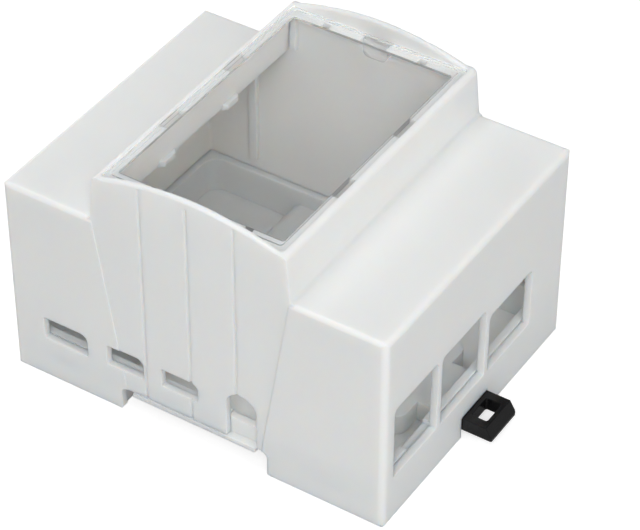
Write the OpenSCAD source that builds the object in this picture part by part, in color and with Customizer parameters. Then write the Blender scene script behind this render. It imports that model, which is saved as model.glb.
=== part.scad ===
// DIN rail enclosure for a single-board computer: cover shell, base tray, window panel and rail clip.
// Origin: centre of the rail seat. +X points to the connector end, Y runs along the rail, +Z is up.

/* [Housing] */
// Length of the housing across the rail
length = 90; // [84:0.5:100]
// Width of the housing along the rail
width = 71; // [68:0.5:90]
// Height of the shoulders above the feet
shoulder_height = 48.2; // [44:0.1:60]
// Height of the crown above the feet
crown_height = 59.2; // [57:0.1:72]
// Width of the crown at its top
crown_width = 45; // [43:0.1:50]
// Thickness of the side and end walls and of the shoulders
wall = 1.7; // [1.5:0.05:2]
// Thickness of the long walls of the crown
crown_wall = 1.5; // [1.3:0.05:1.8]
// Draft of the crown walls, in degrees
crown_draft = 5.4; // [2:0.1:8]
// Rise of the arched ridges over the crown
arch_rise = 3.6; // [1.5:0.1:5]
// Radius of the upright edges
edge_radius = 1.4; // [0.8:0.1:1.6]
// Radius of the top edges of the shoulders
shoulder_radius = 1; // [0.5:0.1:1.5]
// Radius of the long edges of the crown
crown_radius = 1.4; // [1:0.1:1.4]

/* [Side styling] */
// Depth of the tapered panel in the side faces
relief_depth = 0.2; // [0.1:0.05:0.3]
// Half width of the tapered panel at the shoulders
relief_top = 23.2; // [22:0.1:24]
// Half width of the tapered panel at the foot
relief_foot = 16.2; // [15:0.1:17]
// Distance between the grooves
groove_pitch = 11; // [9:0.1:12]
// Width of a groove
groove_width = 0.8; // [0.5:0.05:1]
// Depth of a groove
groove_depth = 0.4; // [0.2:0.05:0.6]

/* [Window] */
// Gap round the window panel in its seat
panel_gap = 0.1; // [0.05:0.01:0.3]
// Thickness of the panel flange
flange_thickness = 0.7; // [0.5:0.05:0.8]
// Width of the ledge under the long edges
ledge_side = 1.85; // [1.4:0.05:2.2]
// Width of the ledge under the short edges
ledge_end = 2.9; // [2.5:0.05:3.2]
// Thickness of the ledge
ledge_thickness = 1.2; // [1:0.05:1.5]
// Width of a snap tongue
tongue_width = 5.8; // [4:0.1:8]
// Thickness of a snap tongue
tongue_thickness = 1.2; // [1:0.05:1.3]
// Length of a snap tongue below the flange
tongue_length = 4.9; // [4.5:0.1:6]

/* [Rail] */
// Height of the rail seat above the feet
seat_height = 4.9; // [4.8:0.1:6]
// Width of the top-hat rail
rail_width = 35; // [34.9:0.05:35.1]
// Thickness of the rail flange
rail_flange = 1; // [0.9:0.05:1.1]
// Play of the rail between the tunnel walls, each side
rail_play = 1; // [0.7:0.05:1.2]
// Reach of the fixed hooks and of the clip nose under the rail flange
hook_reach = 1.6; // [1.4:0.05:1.8]
// Thickness of the tunnel roof
roof = 2; // [1.8:0.05:2.2]

/* [Base tray] */
// Thickness of the floor
floor_thickness = 2; // [1.6:0.05:2.2]
// Height of the rim above the feet
rim_height = 10.6; // [10:0.1:11]
// Height of the rim at the connector end above the feet
end_rim_height = 11.6; // [11:0.1:12]
// Thickness of the upstand
upstand = 1.7; // [1.5:0.05:2]
// Gap between the tray and the cover
cover_gap = 0.15; // [0.1:0.01:0.2]
// Distance between the rows of board holes
board_hole_pitch = 49; // [40:0.5:54]
// Distance between the board holes along a row
board_hole_span = 58; // [54:0.5:60]
// Radius of the pilot holes for the board screws
pilot_radius = 1.05; // [0.9:0.05:1.3]
// Radius of the board bosses
boss_radius = 2.75; // [2.5:0.05:3]

/* [Rail clip] */
// Width of the clip
clip_width = 10; // [8:0.1:12]
// Thickness of the clip
clip_thickness = 3.1; // [2.8:0.05:3.3]
// Length of the handle outside the end wall
handle_length = 6.9; // [6:0.1:9]
// Travel of the clip
clip_travel = 2.5; // [2:0.1:3]
// Clearance round the clip
clip_gap = 0.3; // [0.2:0.05:0.35]
// Width of the screwdriver slot
driver_slot_width = 6; // [4:0.1:7]
// Width of a spring arm
arm_width = 1.3; // [1.1:0.05:1.6]

/* [Openings] */
// Widths of the three end openings, from the near side
end_opening_widths = [16.4, 17.1, 17.3];
// Tops of the three end openings above the feet
end_opening_tops = [29, 28.8, 26];
// Web between the end openings
end_web = 1.45; // [1.2:0.05:2]
// Bottom of the end openings above the feet
end_opening_sill = 11.2; // [11:0.1:12]
// Distances of the three side slots from the plain end
side_slot_starts = [8, 23.9, 37.3];
// Widths of the three side slots
side_slot_widths = [11, 9, 8.9];
// Bottoms of the three side slots above the feet
side_slot_sills = [10.5, 11, 11.5];
// Top of the side slots above the feet
side_slot_top = 16.1; // [15:0.1:17]
// Distance of the jack opening from the plain end
jack_distance = 56.6; // [54:0.1:58]
// Radius of the jack opening
jack_radius = 3.6; // [3.2:0.1:4]
// Height of the centre of the jack opening above the feet
jack_height = 14.8; // [14:0.1:16]

/* [Output] */
// Piece to draw

/* [Hidden] */
$fn = 64;
cut = 1; // how far a cutting body runs past what it cuts
half_length = length / 2;
half_width = width / 2;
crown_y = half_width - relief_depth; // faces of the crown and of the tapered side panels
cavity_x = half_length - wall;
cavity_y = half_width - wall;
shoulder_inside = shoulder_height - wall;
seat_margin = 0.15; // the window seat stands this far back from the inner wall face
seat_y = cavity_y + seat_margin;
seat_x = crown_width / 2 - crown_radius;
ledge_top = crown_height - 1;
ledge_bottom = ledge_top - ledge_thickness;
panel_length = 2 * (seat_y - panel_gap);
panel_width = 2 * (seat_x - panel_gap);
panel_rest = 0.04; // the flange clears the ledge by this much
pane_step = 1.2; // the pane stands this far inside the flange
pane_round = 0.8;
window_x = seat_x - ledge_side;
window_y = seat_y - ledge_end;
// crown profile: the wall is a line tangent to the rounded top edge
crown_tangent_x = seat_x + crown_radius * cos(crown_draft);
crown_tangent_z = crown_height - crown_radius + crown_radius * sin(crown_draft);
crown_slope = tan(crown_draft);
crown_foot_fillet = 0.8;
crown_foot_x = crown_x(shoulder_height);
arch_chord = seat_x + 0.4;
arch_foot = crown_height - 0.2;
arch_radius = (pow(arch_chord, 2) + pow(arch_rise, 2)) / (2 * arch_rise);
arch_rim = 0.6;
groove_top = arch_foot + arch_rise - 2;
groove_foot = seat_height + 1.4;
// foot of the side walls
seat_lip = 1.2; // the rail seat reaches the side faces with this thickness
foot_gap_half = rail_width / 2 + 0.3;
foot_gap_top = seat_height + seat_lip;
seat_lip_half = 15;
foot_flare = 0.9;
// window snap
tongue_y = window_y + 1.1; // inner face of a tongue
barb = 0.5;
barb_height = 1.6;
tongue_end = ledge_top - tongue_length;
// base tray
base_x = cavity_x - cover_gap;
base_y = cavity_y - cover_gap;
tunnel_half = rail_width / 2 + rail_play;
tunnel_wall = 1.8;
tunnel_x = tunnel_half + tunnel_wall;
tunnel_top = seat_height + roof;
tunnel_round = 3;
hook_top = seat_height - rail_flange - 0.2;
hook_thickness = 1.5;
hook_block_x = tunnel_x + 5.7;
hook_block_y = 17.5;
board_x = 2; // distance of the board's edges from the outer faces
board_y = 2.9;
board_hole_edge = 3.5; // distance of the board holes from its edges
boss_x = -half_length + board_x + board_hole_edge + board_hole_span;
boss_row_y = -half_width + board_y + board_hole_edge; // row of holes at the slotted side
pilot_depth = 4.5;
card_dip_y = -half_width + 11.5; // dip in the end rim for the memory card
card_dip_width = 9;
jack_x = -half_length + jack_distance;
// rail clip
clip_top = seat_height + 0.6;
clip_bottom = clip_top - clip_thickness;
clip_half = clip_width / 2;
channel_half = clip_half + clip_gap;
channel_top = clip_top + clip_gap;
nose_x = rail_width / 2 - hook_reach;
arm_root_x = tunnel_x + clip_gap;
arm_reach = 5.8; // how far an arm stands out from the bar
arm_tip_x = arm_root_x + 10.3;
chamber_y = clip_half + arm_reach + 0.7;
chamber_x = arm_tip_x + clip_travel + clip_gap;
housing_x = chamber_x + tunnel_wall;
housing_y = chamber_y + tunnel_wall;
spine_y = channel_half + 1.7;
lip_top = clip_bottom - clip_gap;
lip_width = 1.7;
lip_thickness = 1.3;
handle_x = half_length + handle_length;
// catches between cover and base
catch_x = half_length - 13;
catch_z = 6.1;
catch_height = 0.45;
catch_width = 6;
// inside of the cover
rib_x = half_length - 13.9;
rib_width = 2;
rib_height = 1.2;
rib_foot_far = 13.6;
rib_foot_near = 20; // the ribs of the slotted side end above the board's connectors
corner_rib_x = seat_x - 0.5;
corner_rib_width = 1.5;
corner_rib_height = 1.1;
hook_tab_y = 11.2;
hook_tab_width = 5.6;
hook_tab_height = 1;

function crown_x(z) = crown_tangent_x + (crown_tangent_z - z) * crown_slope;
function opening_start(i) = i == 0 ? -half_width + 3.6 : opening_start(i - 1) + end_opening_widths[i - 1] + end_web;

// Rectangle x0..x1, y0..y1 with its own radii for the lower and the upper corners
module rounded(x0, x1, y0, y1, low, high) {
  for (x = [x0 + low, x1 - low]) translate([x, y0 + low]) circle(low);
  for (x = [x0 + high, x1 - high]) translate([x, y1 - high]) circle(high);
  translate([x0, y0 + low]) square([x1 - x0, y1 - y0 - low - high]);
  translate([x0 + low, y0]) square([x1 - x0 - 2 * low, low + 0.01]);
  translate([x0 + high, y1 - high - 0.01]) square([x1 - x0 - 2 * high, high + 0.01]);
}

// Upright prism over a plan
module upright(z0, z1) {
  translate([0, 0, z0]) linear_extrude(z1 - z0) children();
}

// Prism along Y over an XZ profile, from y0 to y1
module along_y(y0, y1) {
  translate([0, y1, 0]) rotate([90, 0, 0]) linear_extrude(y1 - y0) children();
}

// Prism along X over a YZ profile, from x0 to x1
module along_x(x0, x1) {
  translate([x0, 0, 0]) rotate([90, 0, 90]) linear_extrude(x1 - x0) children();
}

// The same shape at both ends of Y
module both_sides() {
  children();
  mirror([0, 1, 0]) children();
}

// Drafted profile of the crown with rounded top edges
module crown_profile() {
  polygon([
    [-crown_x(shoulder_inside), shoulder_inside],
    [crown_x(shoulder_inside), shoulder_inside],
    [crown_tangent_x, crown_tangent_z],
    [seat_x, crown_height],
    [-seat_x, crown_height],
    [-crown_tangent_x, crown_tangent_z]
  ]);
  for (x = [-seat_x, seat_x]) translate([x, crown_height - crown_radius]) circle(crown_radius);
}

// Fillet in the corner between a crown wall and a shoulder
module crown_foot_fillet_profile() {
  r = crown_foot_fillet;
  centre_x = crown_foot_x + r * (1 - sin(crown_draft)) / cos(crown_draft);
  difference() {
    polygon([
      [crown_foot_x - 0.4, shoulder_height - 0.4],
      [centre_x, shoulder_height - 0.4],
      [centre_x, shoulder_height],
      [centre_x - r * cos(crown_draft), shoulder_height + r * (1 - sin(crown_draft))],
      [crown_foot_x - 0.4, shoulder_height + r]
    ]);
    translate([centre_x, shoulder_height + r]) circle(r);
  }
}

// Outer body up to the shoulders, every edge rounded
module shoulder_box() {
  intersection() {
    upright(0, shoulder_height)
      rounded(-half_length, half_length, -half_width, half_width, edge_radius, edge_radius);
    along_y(-half_width - cut, half_width + cut)
      rounded(-half_length, half_length, 0, shoulder_height, 0.5, shoulder_radius + 0.2);
    along_x(-half_length - cut, half_length + cut)
      rounded(-half_width, half_width, 0, shoulder_height, 0.5, shoulder_radius);
  }
}

// Slice of a thick disc with a rounded rim: one arched ridge on the slotted side
module arch_ridge() {
  intersection() {
    translate([0, -crown_y, arch_foot + arch_rise - arch_radius])
      rotate([-90, 0, 0])
        rotate_extrude($fn = 180) {
          translate([arch_radius - 6, 0]) square([6 - arch_rim, crown_y - seat_y]);
          translate([arch_radius - 6, arch_rim]) square([6, crown_y - seat_y - 2 * arch_rim]);
          translate([arch_radius - arch_rim, arch_rim]) circle(arch_rim);
          translate([arch_radius - arch_rim, crown_y - seat_y - arch_rim]) circle(arch_rim);
        }
    translate([-arch_chord, -half_width - cut, crown_height - 1.2])
      cube([2 * arch_chord, wall + 2 * cut, arch_rise + 3]);
  }
}

// Tapered panel sunk into the slotted side
module side_relief() {
  along_y(-half_width - cut, -crown_y)
    polygon([
      [-relief_foot, foot_gap_top - cut],
      [relief_foot, foot_gap_top - cut],
      [relief_top, shoulder_height],
      [relief_top, shoulder_height + cut],
      [-relief_top, shoulder_height + cut],
      [-relief_top, shoulder_height]
    ]);
}

// Room inside the cover, with the window opening over it
module cavity() {
  upright(-cut, shoulder_inside) rounded(-cavity_x, cavity_x, -cavity_y, cavity_y, 1, 1);
  along_y(-cavity_y, cavity_y)
    polygon([
      [-crown_x(shoulder_inside) + crown_wall, shoulder_inside - cut],
      [crown_x(shoulder_inside) - crown_wall, shoulder_inside - cut],
      [crown_x(shoulder_inside) - crown_wall, shoulder_inside],
      [crown_x(ledge_bottom) - crown_wall, ledge_bottom],
      [-crown_x(ledge_bottom) + crown_wall, ledge_bottom],
      [-crown_x(shoulder_inside) + crown_wall, shoulder_inside]
    ]);
  upright(ledge_bottom - cut, crown_height + cut)
    rounded(-window_x, window_x, -window_y, window_y, 0.6, 0.6);
  upright(ledge_top, crown_height + arch_rise + cut)
    rounded(-seat_x, seat_x, -seat_y, seat_y, 0.6, 0.6);
}

// Breaks in the window ledge: over the hook tabs, at the tongues, and two small notches beside each tongue
module ledge_breaks() {
  for (x = [-seat_x, window_x - cut], y = [-hook_tab_y, hook_tab_y])
    translate([x, y - 3.2, ledge_bottom - cut / 2]) cube([ledge_side + cut, 6.4, ledge_thickness + cut]);
  both_sides() {
    translate([-tongue_width / 2 - 0.3, window_y - cut, ledge_bottom - cut / 2])
      cube([tongue_width + 0.6, cavity_y - window_y + cut, ledge_thickness + cut]);
    for (x = [-11.6, 11.6])
      translate([x - 1, window_y - cut, ledge_bottom - cut / 2])
        cube([2, 1.6 + cut, ledge_thickness + cut]);
    // pocket for the barb
    translate([-tongue_width / 2 - 0.3, cavity_y - cut, tongue_end + 0.5])
      cube([tongue_width + 0.6, cut + 0.55, barb_height + 0.5]);
  }
}

// Opening at the foot of the slotted side for the rail, with flared feet
module rail_gap() {
  along_y(-half_width - cut, -cavity_y + cut) {
    rounded(-foot_gap_half, foot_gap_half, -3, foot_gap_top, 0.2, 1.3);
    for (side = [-1, 1])
      difference() {
        translate([side > 0 ? foot_gap_half - 0.1 : -foot_gap_half - foot_flare, -cut])
          square([foot_flare + 0.1, foot_flare + cut]);
        translate([side * (foot_gap_half + foot_flare), foot_flare]) circle(foot_flare);
      }
  }
}

// Connector openings in the end wall, and the notch for the clip
module end_openings() {
  along_x(cavity_x - cut, half_length + cut) {
    for (i = [0:2])
      rounded(opening_start(i), opening_start(i) + end_opening_widths[i],
        end_opening_sill, end_opening_tops[i], 0.4, 1.4);
    rounded(-channel_half, channel_half, -2, channel_top, 0.2, 0.4);
  }
}

// Slots and jack opening in the slotted side
module side_openings() {
  along_y(-half_width - cut, -cavity_y + cut) {
    for (i = [0:2])
      translate([-half_length + side_slot_starts[i], 0]) {
        rounded(0, side_slot_widths[i] - 2, side_slot_sills[i], side_slot_top, 0.4, 0.5);
        rounded(1, side_slot_widths[i], side_slot_sills[i], side_slot_top, 0.4, 1.8);
      }
    translate([jack_x, jack_height]) circle(jack_radius);
    translate([jack_x - jack_radius, foot_gap_top - cut])
      square([2 * jack_radius, jack_height - foot_gap_top + cut]);
  }
}

// Three grooves with slanting sides down the crown and the tapered panel
module grooves() {
  for (i = [-1:1])
    translate([i * groove_pitch - 0.45, -crown_y, groove_foot]) linear_extrude(groove_top - groove_foot)
      polygon([
        [-groove_width / 2, 0],
        [-groove_width / 2, -cut],
        [groove_width / 2, -cut],
        [groove_width / 2, 0],
        [0.15, groove_depth],
        [-0.15, groove_depth]
      ]);
}

// Upright ribs inside the side walls, and short ones in the corners under the window seat
module ribs() {
  for (x = [-rib_x, rib_x]) {
    translate([x - rib_width / 2, cavity_y - rib_height, rib_foot_far])
      cube([rib_width, rib_height + wall / 2, shoulder_inside - rib_foot_far + wall / 2]);
    translate([x - rib_width / 2, -cavity_y - wall / 2, rib_foot_near])
      cube([rib_width, rib_height + wall / 2, shoulder_inside - rib_foot_near + wall / 2]);
  }
  for (x = [-corner_rib_x, corner_rib_x])
    both_sides()
      translate([x - corner_rib_width / 2, cavity_y - corner_rib_height, shoulder_inside + 0.8])
        cube([corner_rib_width, corner_rib_height + 0.5, ledge_bottom - shoulder_inside]);
}

// Tab with slanting ends at the foot of a crown wall, on its inner face at x = 0
module hook_tab() {
  upright(shoulder_inside - 0.4, shoulder_inside + 1)
    polygon([
      [0.5, -hook_tab_width / 2],
      [0, -hook_tab_width / 2],
      [-hook_tab_height, -hook_tab_width / 2 + hook_tab_height],
      [-hook_tab_height, hook_tab_width / 2 - hook_tab_height],
      [0, hook_tab_width / 2],
      [0.5, hook_tab_width / 2]
    ]);
}

module cover() {
  color("gainsboro")
    translate([0, 0, -seat_height])
      difference() {
        union() {
          difference() {
            union() {
              difference() {
                shoulder_box();
                both_sides() side_relief();
              }
              along_y(-crown_y, crown_y) {
                crown_profile();
                crown_foot_fillet_profile();
                mirror([1, 0]) crown_foot_fillet_profile();
              }
              both_sides() arch_ridge();
            }
            cavity();
          }
          ribs();
          for (turn = [0, 180], y = [-hook_tab_y, hook_tab_y])
            rotate([0, 0, turn]) translate([crown_x(shoulder_inside) - crown_wall, y, 0]) hook_tab();
        }
        ledge_breaks();
        both_sides() rail_gap();
        both_sides() grooves();
        end_openings();
        side_openings();
        // blind pockets for the catches of the base
        for (x = [-catch_x, catch_x])
          both_sides()
            translate([x - catch_width / 2 - 0.3, -cavity_y - 0.55, catch_z - 1.2])
              cube([catch_width + 0.6, 0.55 + cut, 2.4]);
      }
}

// Plan of the hook block and of the clip housing around the rail tunnel
module block_plan() {
  polygon([
    [-tunnel_x + 1, -hook_block_y - 5],
    [-tunnel_x - 3.7, -hook_block_y],
    [-hook_block_x, -hook_block_y + 2.5],
    [-hook_block_x, hook_block_y - 2.5],
    [-tunnel_x - 3.7, hook_block_y],
    [-tunnel_x + 1, hook_block_y + 5]
  ]);
  rounded(tunnel_x - 4, housing_x, -housing_y, housing_y, 2.5, 2.5);
  translate([tunnel_x, -spine_y]) square([base_x - tunnel_x - upstand / 2, 2 * spine_y]);
}

// Floor and upstand of the tray
module tray() {
  difference() {
    upright(0, end_rim_height) rounded(-base_x, base_x, -base_y, base_y, 1.2, 1.2);
    upright(floor_thickness, end_rim_height + cut)
      rounded(-base_x + upstand, base_x - upstand, -base_y + upstand, base_y - upstand, 3.5, 3.5);
    translate([-base_x - cut, -base_y - cut, rim_height])
      cube([2 * base_x - upstand - 2, 2 * base_y + 2 * cut, 5]);
    translate([base_x - upstand - 3, card_dip_y, rim_height]) cube([upstand + 3 + cut, card_dip_width, 5]);
    // dip of the rim behind the jack opening
    translate([jack_x - jack_radius - 0.5, -base_y - cut, rim_height - 0.7])
      cube([2 * jack_radius + 1, upstand + 2 * cut, 5]);
  }
}

// Wedge-shaped catch on the slotted side of the tray
module catch_bump() {
  translate([0, -base_y, catch_z]) rotate([90, 0, 90]) linear_extrude(catch_width, center = true)
    polygon([[0.5, -1], [0, -1], [-catch_height, 0.6], [-catch_height, 0.9], [0, 0.9], [0.5, 0.9]]);
}

// Hollow for the spring arms, channel for the bar, and the way through the tunnel wall
module clip_room() {
  upright(-cut, channel_top) {
    rounded(tunnel_x, chamber_x, -chamber_y, chamber_y, 1, 1);
    translate([chamber_x - cut, -channel_half]) square([base_x - chamber_x + 2 * cut, 2 * channel_half]);
  }
  translate([tunnel_half - cut, -channel_half, lip_top])
    cube([tunnel_wall + 2 * cut, 2 * channel_half, channel_top - lip_top]);
}

// Guide lips under the bar, beside the tunnel and in the channel
module guide_lips() {
  both_sides() {
    translate([tunnel_x - 0.5, channel_half - lip_width, lip_top - lip_thickness])
      cube([4.5, lip_width, lip_thickness]);
    translate([chamber_x + 2, channel_half - lip_width, lip_top - lip_thickness])
      cube([base_x - chamber_x - 2, lip_width + 0.8, lip_thickness]);
  }
}

module base() {
  color("lightgray")
    translate([0, 0, -seat_height])
      union() {
        difference() {
          union() {
            tray();
            // tunnel over the rail
            along_y(-base_y, base_y) rounded(-tunnel_x, tunnel_x, 0, tunnel_top, 0.2, tunnel_round);
            // hook block and clip housing
            upright(0, tunnel_top) block_plan();
            // rail seat carried out to the side faces
            along_y(-half_width, half_width)
              rounded(-seat_lip_half, seat_lip_half, seat_height, foot_gap_top - 0.1, 0.3, 0.3);
            // board bosses
            for (y = [boss_row_y, boss_row_y + board_hole_pitch])
              translate([boss_x, y, 1]) cylinder(h = rim_height - 1, r = boss_radius);
            for (x = [-catch_x, catch_x]) both_sides() translate([x, 0, 0]) catch_bump();
          }
          // rail recess
          along_y(-half_width - cut, half_width + cut)
            rounded(-tunnel_half, tunnel_half, -3, seat_height, 0.2, 0.4);
          clip_room();
          // hollow under the hook block
          translate([-hook_block_x + 1.7, -hook_block_y + 2.5, -cut])
            cube([hook_block_x - tunnel_x - 1.7, 2 * hook_block_y - 5, seat_height + cut]);
          // pilot holes for the board screws
          for (y = [boss_row_y, boss_row_y + board_hole_pitch])
            translate([boss_x, y, rim_height - pilot_depth]) cylinder(h = pilot_depth + cut, r = pilot_radius);
        }
        // fixed hooks under the rail flange
        both_sides()
          along_y(6, 15)
            polygon([
              [-tunnel_half - 0.5, hook_top - hook_thickness],
              [-tunnel_half - 0.5, hook_top],
              [-rail_width / 2 + hook_reach, hook_top],
              [-rail_width / 2 + hook_reach, hook_top - hook_thickness + 0.6],
              [-rail_width / 2 + hook_reach - 0.8, hook_top - hook_thickness]
            ]);
        guide_lips();
      }
}

module window_panel() {
  color("aliceblue")
    translate([0, 0, -seat_height]) {
      upright(ledge_top + panel_rest, ledge_top + flange_thickness)
        rounded(-panel_width / 2, panel_width / 2, -panel_length / 2, panel_length / 2, 0.5, 0.5);
      // pane, standing above the flange, and the plug below it
      upright(ledge_top + panel_rest, crown_height)
        rounded(-panel_width / 2 + pane_step, panel_width / 2 - pane_step,
          -panel_length / 2 + pane_step, panel_length / 2 - pane_step, pane_round, pane_round);
      upright(ledge_bottom, crown_height)
        rounded(-window_x + panel_gap, window_x - panel_gap,
          -window_y + panel_gap, window_y - panel_gap, 0.5, 0.5);
      both_sides() snap_tongue();
    }
}

// Tongue with a barb that catches in the side wall
module snap_tongue() {
  intersection() {
    along_x(-tongue_width / 2, tongue_width / 2)
      polygon([
        [tongue_y, ledge_top + 0.3],
        [tongue_y, tongue_end],
        [tongue_y + tongue_thickness - 0.3, tongue_end],
        [cavity_y + barb - 0.15, tongue_end + barb_height - 0.3],
        [cavity_y + barb - 0.15, tongue_end + barb_height],
        [tongue_y + tongue_thickness, tongue_end + barb_height + 0.3],
        [tongue_y + tongue_thickness, ledge_top + 0.3]
      ]);
    along_y(tongue_y - cut, half_width)
      rounded(-tongue_width / 2, tongue_width / 2, tongue_end, ledge_top + 1, 1.5, 0.2);
  }
}

// One spring arm as a bent strip beside the bar
module spring_arm_plan() {
  polygon([
    [arm_root_x, clip_half - 0.5],
    [arm_root_x, clip_half + 0.4],
    [arm_root_x + 5.2, clip_half + arm_reach],
    [arm_tip_x, clip_half + arm_reach],
    [arm_tip_x, clip_half + arm_reach - arm_width],
    [arm_root_x + 5.7, clip_half + arm_reach - arm_width],
    [arm_root_x + 1.6, clip_half - 0.5]
  ]);
}

module rail_clip() {
  color("dimgray")
    translate([0, 0, -seat_height])
      difference() {
        union() {
          intersection() {
            // bar and handle, seen from the side
            along_y(-clip_half, clip_half)
              polygon([
                [nose_x, hook_top - 0.6],
                [nose_x, hook_top],
                [tunnel_half, hook_top],
                [tunnel_half, clip_top],
                [handle_x - 1.5, clip_top],
                [handle_x, clip_bottom + 0.6],
                [handle_x, clip_bottom],
                [nose_x + 1.2, clip_bottom]
              ]);
            upright(clip_bottom - cut, clip_top + cut)
              rounded(nose_x, handle_x, -clip_half, clip_half, 0.4, 0.4);
          }
          upright(clip_bottom, clip_top) both_sides() spring_arm_plan();
        }
        // screwdriver slot
        upright(clip_bottom - cut, clip_top + cut)
          rounded(half_length + 1, half_length + 4.6, -driver_slot_width / 2, driver_slot_width / 2, 0.5, 0.5);
      }
}

cover();
base();
window_panel();
rail_clip();
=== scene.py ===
import math

import bpy
from mathutils import Matrix, Vector


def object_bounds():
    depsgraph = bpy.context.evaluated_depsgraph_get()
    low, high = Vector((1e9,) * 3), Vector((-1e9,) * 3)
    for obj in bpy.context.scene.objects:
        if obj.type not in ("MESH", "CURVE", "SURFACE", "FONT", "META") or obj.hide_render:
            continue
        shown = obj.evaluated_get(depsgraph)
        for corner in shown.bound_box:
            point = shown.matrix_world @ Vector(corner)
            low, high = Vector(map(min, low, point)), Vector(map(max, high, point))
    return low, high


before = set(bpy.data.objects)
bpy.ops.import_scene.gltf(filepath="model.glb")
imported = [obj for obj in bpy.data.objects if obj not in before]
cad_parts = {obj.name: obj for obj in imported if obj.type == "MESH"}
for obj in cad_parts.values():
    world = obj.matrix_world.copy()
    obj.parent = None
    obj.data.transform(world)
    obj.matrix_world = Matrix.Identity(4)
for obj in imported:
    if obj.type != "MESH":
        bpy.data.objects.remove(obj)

CAD_LOW, CAD_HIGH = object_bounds()
FEET_Z = CAD_LOW[2]
MM = 0.001

# Camera: a long lens above the corner between the slotted side and the connector end
CAMERA_PLACE = (0.23839, -0.36101, 0.38602)
CAMERA_LENS = 155.1
CAMERA_ELEVATION = 40.467
CAMERA_AZIMUTH = 32.606
CAMERA_ROLL = 0.241

# Studio: light from all round, and square lamps (place in metres, width, watts) aimed at one point
AMBIENT = 0.28
LAMP_AIM = (0, 0, 0.02)
LAMPS = {
    "overhead": ((-0.25, -0.05, 0.93), 0.4, 2.3),
    "front": ((0.4, -0.72, 0.72), 0.6, 6.6),
    "right": ((1.0, -0.05, 0.45), 0.5, 2.5),
    # low, so that the window panel doesn't mirror it towards the camera
    "back": ((-0.95, 0.45, 0.3), 0.5, 3.0),
}
FLOOR_WIDTH = 6
FLOOR_COLOUR = (0.58, 0.58, 0.58, 1)
FLOOR_LIFT = 0.66  # added where the floor is seen directly, so that it reads as white

# Noise: features per metre, and detail
CLOUD = (35, 3)
GRAIN = (5200, 2)
WEAR = (60, 2)
GRAIN_HEIGHT = 0.02 * MM
SOAK_RADIUS = (1.0, 0.8, 0.65)  # red light soaks in furthest
BEVEL_SAMPLES = 4

# Window panel
PANEL_TINT = (0.99, 0.99, 0.99, 1)
PANEL_IOR = 1.49
PANEL_ROUGHNESS = (0.0, 0.03)
FROST_COLOUR = (0.95, 0.95, 0.95, 1)
FROST_SHARE = 0.45  # how far the edge faces are frosted
UPRIGHT_BELOW = 0.5  # faces whose normal rises less than this are edge faces


def new_material(name):
    """Empty node material with its output."""
    material = bpy.data.materials.new(name)
    material.use_nodes = True
    nodes = material.node_tree.nodes
    nodes.clear()
    output = nodes.new("ShaderNodeOutputMaterial")
    return material, nodes, material.node_tree.links, output


def add_noise(nodes, links, scale, detail, roughness=0.5):
    """Noise in the row frame, so it doesn't depend on UVs; scale is in features per metre."""
    coords = nodes.new("ShaderNodeTexCoord")
    noise = nodes.new("ShaderNodeTexNoise")
    noise.inputs["Scale"].default_value = scale
    noise.inputs["Detail"].default_value = detail
    noise.inputs["Roughness"].default_value = roughness
    links.new(coords.outputs["Object"], noise.inputs["Vector"])
    return noise


def add_ramp(nodes, links, source, low, high, start=0.3, end=0.7):
    """Colour ramp between two colours over a factor output."""
    ramp = nodes.new("ShaderNodeValToRGB")
    ramp.color_ramp.elements[0].position = start
    ramp.color_ramp.elements[0].color = (*low, 1)
    ramp.color_ramp.elements[1].position = end
    ramp.color_ramp.elements[1].color = (*high, 1)
    links.new(source, ramp.inputs["Fac"])
    return ramp


def add_range(nodes, links, source, low, high):
    """Map a factor output to low..high."""
    mapped = nodes.new("ShaderNodeMapRange")
    mapped.inputs["To Min"].default_value = low
    mapped.inputs["To Max"].default_value = high
    links.new(source, mapped.inputs["Value"])
    return mapped


def add_math(nodes, operation, value=None):
    """Math node, with its second input set where a value is given."""
    node = nodes.new("ShaderNodeMath")
    node.operation = operation
    if value is not None:
        node.inputs[1].default_value = value
    return node


def moulded_plastic(name, low, high, roughness, grain, edge, depth, ior):
    """Spark-eroded satin plastic: slightly uneven colour and gloss, a very fine grain,
    edges broken by edge metres, and light that soaks in by depth metres."""
    material, nodes, links, output = new_material(name)
    shader = nodes.new("ShaderNodeBsdfPrincipled")
    shader.inputs["IOR"].default_value = ior
    if depth:
        shader.inputs["Subsurface Weight"].default_value = 1.0
        shader.inputs["Subsurface Radius"].default_value = SOAK_RADIUS
        shader.inputs["Subsurface Scale"].default_value = depth
    cloud = add_noise(nodes, links, *CLOUD)
    colour = add_ramp(nodes, links, cloud.outputs["Fac"], low, high)
    gloss = add_range(nodes, links, cloud.outputs["Fac"], *roughness)
    fine = add_noise(nodes, links, *GRAIN)
    bump = nodes.new("ShaderNodeBump")
    bump.inputs["Strength"].default_value = grain
    bump.inputs["Distance"].default_value = GRAIN_HEIGHT
    links.new(fine.outputs["Fac"], bump.inputs["Height"])
    broken = nodes.new("ShaderNodeBevel")
    broken.samples = BEVEL_SAMPLES
    broken.inputs["Radius"].default_value = edge
    links.new(broken.outputs["Normal"], bump.inputs["Normal"])
    links.new(colour.outputs["Color"], shader.inputs["Base Color"])
    links.new(gloss.outputs["Result"], shader.inputs["Roughness"])
    links.new(bump.outputs["Normal"], shader.inputs["Normal"])
    links.new(shader.outputs["BSDF"], output.inputs["Surface"])
    return material


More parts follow.
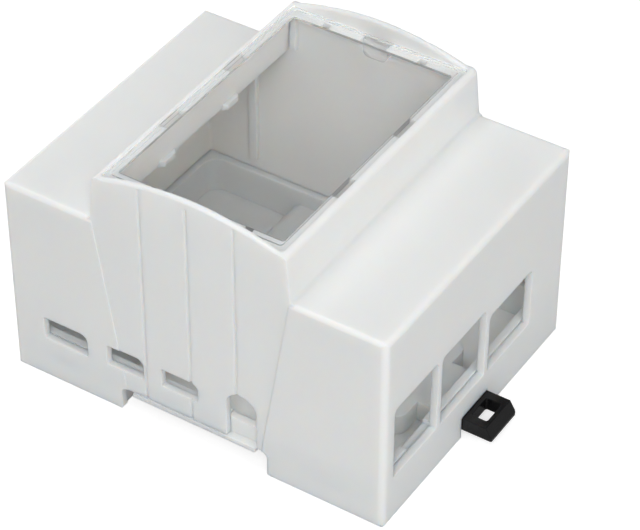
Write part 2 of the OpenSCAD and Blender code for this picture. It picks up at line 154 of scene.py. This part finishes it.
def clear_plastic(name):
    """Polished clear plastic with frosted edge faces, which lets light into the housing."""
    material, nodes, links, output = new_material(name)
    shader = nodes.new("ShaderNodeBsdfPrincipled")
    shader.inputs["Base Color"].default_value = PANEL_TINT
    shader.inputs["Transmission Weight"].default_value = 1.0
    shader.inputs["IOR"].default_value = PANEL_IOR
    wear = add_noise(nodes, links, *WEAR)
    gloss = add_range(nodes, links, wear.outputs["Fac"], *PANEL_ROUGHNESS)
    links.new(gloss.outputs["Result"], shader.inputs["Roughness"])
    # faces that stand upright are the drafted, frosted edges of the moulding
    frost = nodes.new("ShaderNodeBsdfTranslucent")
    frost.inputs["Color"].default_value = FROST_COLOUR
    chalk = nodes.new("ShaderNodeBsdfDiffuse")
    chalk.inputs["Color"].default_value = FROST_COLOUR
    edge = nodes.new("ShaderNodeMixShader")
    edge.inputs["Fac"].default_value = 0.5
    links.new(frost.outputs["BSDF"], edge.inputs[1])
    links.new(chalk.outputs["BSDF"], edge.inputs[2])
    geometry = nodes.new("ShaderNodeNewGeometry")
    split = nodes.new("ShaderNodeSeparateXYZ")
    links.new(geometry.outputs["True Normal"], split.inputs["Vector"])
    level = add_math(nodes, "ABSOLUTE")
    links.new(split.outputs["Z"], level.inputs[0])
    upright = add_math(nodes, "LESS_THAN", UPRIGHT_BELOW)
    links.new(level.outputs["Value"], upright.inputs[0])
    share = add_math(nodes, "MULTIPLY", FROST_SHARE)
    links.new(upright.outputs["Value"], share.inputs[0])
    body = nodes.new("ShaderNodeMixShader")
    links.new(share.outputs["Value"], body.inputs["Fac"])
    links.new(shader.outputs["BSDF"], body.inputs[1])
    links.new(edge.outputs["Shader"], body.inputs[2])
    path = nodes.new("ShaderNodeLightPath")
    clear = nodes.new("ShaderNodeBsdfTransparent")
    clear.inputs["Color"].default_value = PANEL_TINT
    mix = nodes.new("ShaderNodeMixShader")
    # lamp light and bounced light go straight through, so neither is counted twice
    passing = add_math(nodes, "MAXIMUM")
    links.new(path.outputs["Is Shadow Ray"], passing.inputs[0])
    links.new(path.outputs["Is Diffuse Ray"], passing.inputs[1])
    links.new(passing.outputs["Value"], mix.inputs["Fac"])
    links.new(body.outputs["Shader"], mix.inputs[1])
    links.new(clear.outputs["BSDF"], mix.inputs[2])
    links.new(mix.outputs["Shader"], output.inputs["Surface"])
    return material


def floor_material():
    """Pale floor that keeps its shadows; seen directly it is lifted to white."""
    material, nodes, links, output = new_material("floor_white")
    shader = nodes.new("ShaderNodeBsdfDiffuse")
    shader.inputs["Color"].default_value = FLOOR_COLOUR
    glow = nodes.new("ShaderNodeEmission")
    glow.inputs["Color"].default_value = (1, 1, 1, 1)
    path = nodes.new("ShaderNodeLightPath")
    seen = add_math(nodes, "MAXIMUM")
    lift = add_math(nodes, "MULTIPLY", FLOOR_LIFT)
    links.new(path.outputs["Is Camera Ray"], seen.inputs[0])
    links.new(path.outputs["Is Transmission Ray"], seen.inputs[1])
    links.new(seen.outputs["Value"], lift.inputs[0])
    links.new(lift.outputs["Value"], glow.inputs["Strength"])
    both = nodes.new("ShaderNodeAddShader")
    links.new(shader.outputs["BSDF"], both.inputs[0])
    links.new(glow.outputs["Emission"], both.inputs[1])
    links.new(both.outputs["Shader"], output.inputs["Surface"])
    return material


def dress_nodes():
    """Give each node of the frame its material."""
    pale = {"roughness": (0.42, 0.5), "grain": 0.12, "edge": 0.25 * MM, "depth": 2.6 * MM, "ior": 1.5}
    black = {"roughness": (0.2, 0.26), "grain": 0.06, "edge": 0.3 * MM, "depth": 0, "ior": 1.38}
    looks = {
        "cover": moulded_plastic("housing_plastic", (0.835, 0.84, 0.83), (0.855, 0.86, 0.85), **pale),
        "base": moulded_plastic("tray_plastic", (0.83, 0.835, 0.825), (0.85, 0.855, 0.845), **pale),
        "window_panel": clear_plastic("window_plastic"),
        "rail_clip": moulded_plastic(
            "clip_plastic", (0.004, 0.004, 0.0045), (0.006, 0.006, 0.0065), **black),
    }
    for name, material in looks.items():
        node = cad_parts[name]
        for index in range(len(node.material_slots)):
            node.material_slots[index].material = material


def add_floor():
    bpy.ops.mesh.primitive_plane_add(size=FLOOR_WIDTH, location=(0, 0, FEET_Z))
    floor = bpy.context.object
    floor.name = "floor"
    floor.data.materials.append(floor_material())


def add_lamp(name, place, width, power):
    """Square area lamp aimed at LAMP_AIM."""
    data = bpy.data.lights.new(name, "AREA")
    data.shape = "RECTANGLE"
    data.size = width
    data.size_y = width
    data.energy = power
    light = bpy.data.objects.new(name, data)
    light.location = place
    light.rotation_euler = (Vector(LAMP_AIM) - Vector(place)).to_track_quat("-Z", "Y").to_euler()
    bpy.context.collection.objects.link(light)


def add_lights():
    world = bpy.data.worlds.new("studio")
    bpy.context.scene.world = world
    world.use_nodes = True
    nodes, links = world.node_tree.nodes, world.node_tree.links
    nodes.clear()
    output = nodes.new("ShaderNodeOutputWorld")
    background = nodes.new("ShaderNodeBackground")
    background.inputs["Strength"].default_value = AMBIENT
    links.new(background.outputs["Background"], output.inputs["Surface"])
    for name, (place, width, power) in LAMPS.items():
        add_lamp(name, place, width, power)


def add_camera():
    data = bpy.data.cameras.new("camera")
    data.sensor_width = 36
    data.lens = CAMERA_LENS
    data.clip_start = 0.01
    camera = bpy.data.objects.new("camera", data)
    bpy.context.collection.objects.link(camera)
    turn = (Matrix.Rotation(math.radians(CAMERA_AZIMUTH), 4, "Z")
            @ Matrix.Rotation(math.radians(90 - CAMERA_ELEVATION), 4, "X")
            @ Matrix.Rotation(math.radians(CAMERA_ROLL), 4, "Z"))
    camera.matrix_world = Matrix.Translation(CAMERA_PLACE) @ turn
    bpy.context.scene.camera = camera


dress_nodes()
add_floor()
add_lights()
add_camera()
bpy.context.scene.view_settings.view_transform = "Standard"
